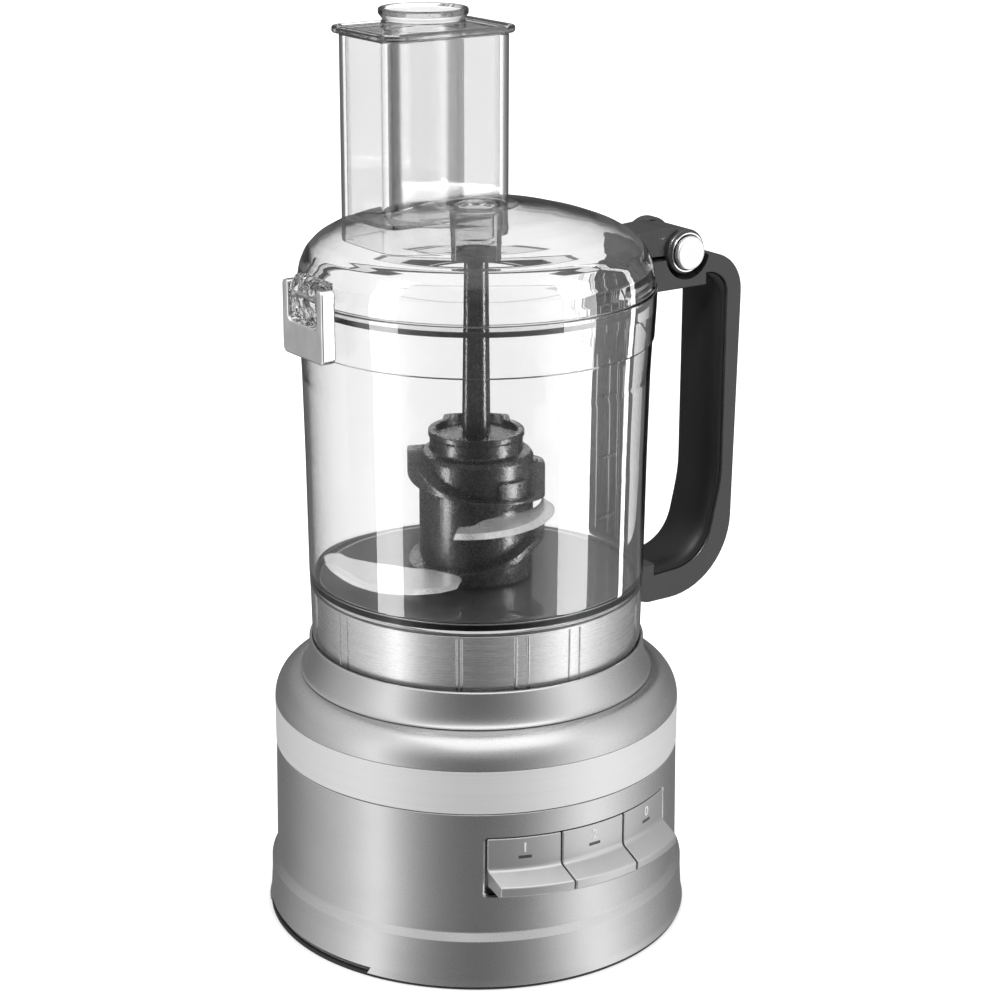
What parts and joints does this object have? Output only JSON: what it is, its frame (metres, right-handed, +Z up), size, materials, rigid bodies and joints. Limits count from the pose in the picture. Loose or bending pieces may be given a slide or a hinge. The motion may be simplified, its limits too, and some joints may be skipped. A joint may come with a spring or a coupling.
{
  "type": "food processor",
  "caption": "Food processor: silver motor base with paddle keys, clear bowl with side handle and knife, hinged latching lid, feed tube and nested pushers.",
  "frame": {"origin": "centre of the object's box, on the worktop it stands on", "axes": "+Z up along the spindle, -Y the front with the keys, +X the handle and lid hinge, -X the latch"},
  "size_m": [0.2476, 0.2118, 0.432],
  "materials": {
    "silver_body": "satin silver metallic paint",
    "brushed_band": "brushed",
    "key_grey": "satin pearl grey",
    "charcoal_plastic": "fine moulded grain",
    "soft_grip": "soft touch",
    "rubber": "matte",
    "clear_plastic": "clear, polished",
    "chrome": "polished",
    "steel": "machined",
    "blade_steel": "ground and polished",
    "copper": "enamelled winding wire",
    "circuit_board": "solder mask"
  },
  "bodies": {
    "base": {"base_housing": "silver_body", "base_band": "brushed_band", "top_cover": "silver_body", "bowl_seat_ring": "silver_body", "bowl_pedestal": "silver_body", "pedestal_cap": "charcoal_plastic", "bottom_plate": "charcoal_plastic", "plate_screw_1": "steel", "plate_screw_2": "steel", "plate_screw_3": "steel", "foot_1": "rubber", "foot_2": "rubber", "foot_3": "rubber", "foot_4": "rubber", "cord_gland": "rubber", "chassis_plate": "steel", "motor_bracket": "steel", "motor_bearing_lower": "steel", "motor_bearing_upper": "steel", "spindle_bearing_lower": "steel", "spindle_bearing_upper": "steel", "motor_stator": "steel", "field_winding_lower": "copper", "field_winding_upper": "copper", "brush_yoke": "charcoal_plastic", "drive_belt": "rubber", "control_board": "circuit_board", "key_switch_1": "charcoal_plastic", "key_switch_2": "charcoal_plastic", "key_switch_3": "charcoal_plastic"},
    "motor_rotor": {"motor_shaft": "steel", "motor_pulley": "steel", "rotor_core": "steel", "commutator": "copper", "cooling_fan": "charcoal_plastic"},
    "spindle": {"drive_spindle": "steel", "drive_pulley": "charcoal_plastic", "drive_coupler": "steel"},
    "bowl": {"bowl_shell": "clear_plastic", "bowl_handle": "charcoal_plastic", "handle_grip": "soft_grip", "hinge_pin": "steel", "hinge_cap": "chrome"},
    "knife": {"blade_hub": "charcoal_plastic", "knife_stem": "charcoal_plastic", "blade_upper": "blade_steel", "blade_lower": "blade_steel"},
    "lid": {"lid_dome": "clear_plastic", "feed_tube": "clear_plastic", "stem_bearing": "charcoal_plastic", "lid_gasket": "rubber", "lid_hinge_arm": "charcoal_plastic", "latch_lug": "clear_plastic"},
    "latch": {"latch_lever": "chrome", "latch_pin": "steel"},
    "pusher": {"pusher": "clear_plastic"},
    "small_pusher": {"small_pusher": "clear_plastic"},
    "low_speed_key": {"low_speed_key": "key_grey"},
    "high_speed_key": {"high_speed_key": "key_grey"},
    "off_pulse_key": {"off_pulse_key": "key_grey"}
  },
  "joints": [
    {"name": "motor_spin", "type": "hinge", "parent": "base", "child": "motor_rotor", "pos_m": [-0.02197, 0.05115, 0.02], "axis": [0, 0, 1], "continuous": true},
    {"name": "spindle_spin", "type": "hinge", "parent": "base", "child": "spindle", "pos_m": [-0.02197, 0.00315, 0.02], "axis": [0, 0, 1], "continuous": true},
    {"name": "bowl_lift", "type": "slide", "parent": "base", "child": "bowl", "axis": [0, 0, 1], "range_m": [0, 0.15]},
    {"name": "knife_spin", "type": "hinge", "parent": "bowl", "child": "knife", "pos_m": [-0.02197, 0.00315, 0.2], "axis": [0, 0, 1], "continuous": true},
    {"name": "lid_open", "type": "hinge", "parent": "bowl", "child": "lid", "pos_m": [0.08953, 0.00315, 0.3135], "axis": [0, 1, 0], "range_deg": [0, 95]},
    {"name": "latch_release", "type": "hinge", "parent": "lid", "child": "latch", "pos_m": [-0.11057, 0.00315, 0.315], "axis": [0, 1, 0], "range_deg": [0, 35]},
    {"name": "pusher_slide", "type": "slide", "parent": "lid", "child": "pusher", "axis": [0, 0, 1], "range_m": [0, 0.095]},
    {"name": "small_pusher_slide", "type": "slide", "parent": "pusher", "child": "small_pusher", "axis": [0, 0, 1], "range_m": [0, 0.095]},
    {"name": "low_speed_key_press", "type": "hinge", "parent": "base", "child": "low_speed_key", "pos_m": [-0.05517, -0.08426, 0.073], "axis": [0.9348, -0.3551, 0], "range_deg": [0, 4], "stiffness_Nm_per_rad": 1.2, "springref_deg": -2.29},
    {"name": "high_speed_key_press", "type": "hinge", "parent": "base", "child": "high_speed_key", "pos_m": [-0.02197, -0.09035, 0.073], "axis": [1, 0, 0], "range_deg": [0, 4], "stiffness_Nm_per_rad": 1.2, "springref_deg": -2.29},
    {"name": "off_pulse_key_press", "type": "hinge", "parent": "base", "child": "off_pulse_key", "pos_m": [0.01123, -0.08426, 0.073], "axis": [0.9348, 0.3551, 0], "range_deg": [0, 4], "stiffness_Nm_per_rad": 1.2, "springref_deg": -2.29}
  ],
  "couplings": [
    {"joint": "spindle_spin", "follows": "motor_spin", "ratio": 0.2},
    {"joint": "knife_spin", "follows": "motor_spin", "ratio": 0.2}
  ]
}
